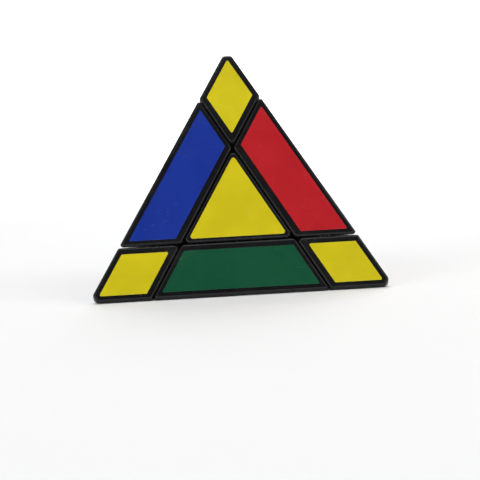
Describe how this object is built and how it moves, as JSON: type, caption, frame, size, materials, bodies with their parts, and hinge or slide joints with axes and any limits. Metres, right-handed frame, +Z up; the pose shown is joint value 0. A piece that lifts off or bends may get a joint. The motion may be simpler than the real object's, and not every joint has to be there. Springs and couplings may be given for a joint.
{
  "type": "pyramid twisty puzzle",
  "caption": "Tetrahedral twisty puzzle: black plastic pieces with coloured stickers, whose four face layers turn on a sprung core.",
  "frame": {"origin": "centre of the base face, on the plane of its stickers, which the puzzle stands on", "axes": "+Z up to the top corner, +X to the right corner's side, the front face and its yellow centre towards -Y"},
  "size_m": [0.0972, 0.085, 0.0799],
  "materials": {
    "black_plastic": "moulded, polished, semi-gloss",
    "inner_plastic": "moulded, satin, polished where it slides",
    "core_plastic": "moulded, satin",
    "yellow_sticker": "vinyl sticker, semi-gloss",
    "blue_sticker": "vinyl sticker, semi-gloss",
    "red_sticker": "vinyl sticker, semi-gloss",
    "green_sticker": "vinyl sticker, semi-gloss",
    "screw_steel": "zinc plated",
    "washer_steel": "stamped, zinc plated",
    "spring_steel": "drawn wire, bright"
  },
  "bodies": {
    "core": {"core": "core_plastic", "screws": "screw_steel", "washers": "washer_steel", "springs": "spring_steel"},
    "front_centre": {"front_centre_body": "inner_plastic", "front_centre_cap": "black_plastic", "front_centre_sticker": "yellow_sticker"},
    "right_centre": {"right_centre_body": "inner_plastic", "right_centre_cap": "black_plastic", "right_centre_sticker": "red_sticker"},
    "left_centre": {"left_centre_body": "inner_plastic", "left_centre_cap": "black_plastic", "left_centre_sticker": "blue_sticker"},
    "base_centre": {"base_centre_body": "inner_plastic", "base_centre_cap": "black_plastic", "base_centre_sticker": "green_sticker"},
    "front_left_edge": {"front_left_edge_shell": "black_plastic", "front_left_edge_foot": "inner_plastic", "front_left_edge_sticker_front": "blue_sticker", "front_left_edge_sticker_left": "yellow_sticker"},
    "front_right_edge": {"front_right_edge_shell": "black_plastic", "front_right_edge_foot": "inner_plastic", "front_right_edge_sticker_front": "red_sticker", "front_right_edge_sticker_right": "yellow_sticker"},
    "back_edge": {"back_edge_shell": "black_plastic", "back_edge_foot": "inner_plastic", "back_edge_sticker_left": "red_sticker", "back_edge_sticker_right": "blue_sticker"},
    "front_base_edge": {"front_base_edge_shell": "black_plastic", "front_base_edge_foot": "inner_plastic", "front_base_edge_sticker_front": "green_sticker", "front_base_edge_sticker_base": "yellow_sticker"},
    "left_base_edge": {"left_base_edge_shell": "black_plastic", "left_base_edge_foot": "inner_plastic", "left_base_edge_sticker_left": "green_sticker", "left_base_edge_sticker_base": "blue_sticker"},
    "right_base_edge": {"right_base_edge_shell": "black_plastic", "right_base_edge_foot": "inner_plastic", "right_base_edge_sticker_right": "green_sticker", "right_base_edge_sticker_base": "red_sticker"},
    "top_corner": {"top_corner_shell": "black_plastic", "top_corner_foot": "inner_plastic", "top_corner_sticker_front": "yellow_sticker", "top_corner_sticker_left": "blue_sticker", "top_corner_sticker_right": "red_sticker"},
    "left_corner": {"left_corner_shell": "black_plastic", "left_corner_foot": "inner_plastic", "left_corner_sticker_front": "yellow_sticker", "left_corner_sticker_left": "blue_sticker", "left_corner_sticker_base": "green_sticker"},
    "right_corner": {"right_corner_shell": "black_plastic", "right_corner_foot": "inner_plastic", "right_corner_sticker_front": "yellow_sticker", "right_corner_sticker_right": "red_sticker", "right_corner_sticker_base": "green_sticker"},
    "back_corner": {"back_corner_shell": "black_plastic", "back_corner_foot": "inner_plastic", "back_corner_sticker_left": "blue_sticker", "back_corner_sticker_right": "red_sticker", "back_corner_sticker_base": "green_sticker"}
  },
  "joints": [
    {"name": "front_turn", "type": "hinge", "parent": "core", "child": "front_centre", "pos_m": [0, 0, 0.02097], "axis": [0, -0.9428, 0.3333], "range_deg": [-360, 360]},
    {"name": "right_turn", "type": "hinge", "parent": "core", "child": "right_centre", "pos_m": [0, 0, 0.02097], "axis": [0.8165, 0.4714, 0.3333], "range_deg": [-360, 360]},
    {"name": "left_turn", "type": "hinge", "parent": "core", "child": "left_centre", "pos_m": [0, 0, 0.02097], "axis": [-0.8165, 0.4714, 0.3333], "range_deg": [-360, 360]},
    {"name": "base_turn", "type": "hinge", "parent": "core", "child": "base_centre", "pos_m": [0, 0, 0.02097], "axis": [0, 0, -1], "continuous": true},
    {"name": "front_left_edge_with_left", "type": "hinge", "parent": "front_centre", "child": "front_left_edge", "pos_m": [0, 0, 0.02097], "axis": [-0.8165, 0.4714, 0.3333], "range_deg": [-360, 360]},
    {"name": "front_right_edge_with_right", "type": "hinge", "parent": "front_centre", "child": "front_right_edge", "pos_m": [0, 0, 0.02097], "axis": [0.8165, 0.4714, 0.3333], "range_deg": [-360, 360]},
    {"name": "back_edge_with_right", "type": "hinge", "parent": "left_centre", "child": "back_edge", "pos_m": [0, 0, 0.02097], "axis": [0.8165, 0.4714, 0.3333], "range_deg": [-360, 360]},
    {"name": "front_base_edge_with_base", "type": "hinge", "parent": "front_centre", "child": "front_base_edge", "pos_m": [0, 0, 0.02097], "axis": [0, 0, -1], "continuous": true},
    {"name": "left_base_edge_with_base", "type": "hinge", "parent": "left_centre", "child": "left_base_edge", "pos_m": [0, 0, 0.02097], "axis": [0, 0, -1], "continuous": true},
    {"name": "right_base_edge_with_base", "type": "hinge", "parent": "right_centre", "child": "right_base_edge", "pos_m": [0, 0, 0.02097], "axis": [0, 0, -1], "continuous": true},
    {"name": "top_corner_with_right", "type": "hinge", "parent": "front_left_edge", "child": "top_corner", "pos_m": [0, 0, 0.02097], "axis": [0.8165, 0.4714, 0.3333], "range_deg": [-360, 360]},
    {"name": "left_corner_with_base", "type": "hinge", "parent": "front_left_edge", "child": "left_corner", "pos_m": [0, 0, 0.02097], "axis": [0, 0, -1], "continuous": true},
    {"name": "right_corner_with_base", "type": "hinge", "parent": "front_right_edge", "child": "right_corner", "pos_m": [0, 0, 0.02097], "axis": [0, 0, -1], "continuous": true},
    {"name": "back_corner_with_base", "type": "hinge", "parent": "back_edge", "child": "back_corner", "pos_m": [0, 0, 0.02097], "axis": [0, 0, -1], "continuous": true}
  ],
  "couplings": [
    {"joint": "front_left_edge_with_left", "follows": "left_turn", "ratio": 1},
    {"joint": "front_right_edge_with_right", "follows": "right_turn", "ratio": 1},
    {"joint": "back_edge_with_right", "follows": "right_turn", "ratio": 1},
    {"joint": "front_base_edge_with_base", "follows": "base_turn", "ratio": 1},
    {"joint": "left_base_edge_with_base", "follows": "base_turn", "ratio": 1},
    {"joint": "right_base_edge_with_base", "follows": "base_turn", "ratio": 1},
    {"joint": "top_corner_with_right", "follows": "right_turn", "ratio": 1},
    {"joint": "left_corner_with_base", "follows": "base_turn", "ratio": 1},
    {"joint": "right_corner_with_base", "follows": "base_turn", "ratio": 1},
    {"joint": "back_corner_with_base", "follows": "base_turn", "ratio": 1}
  ]
}
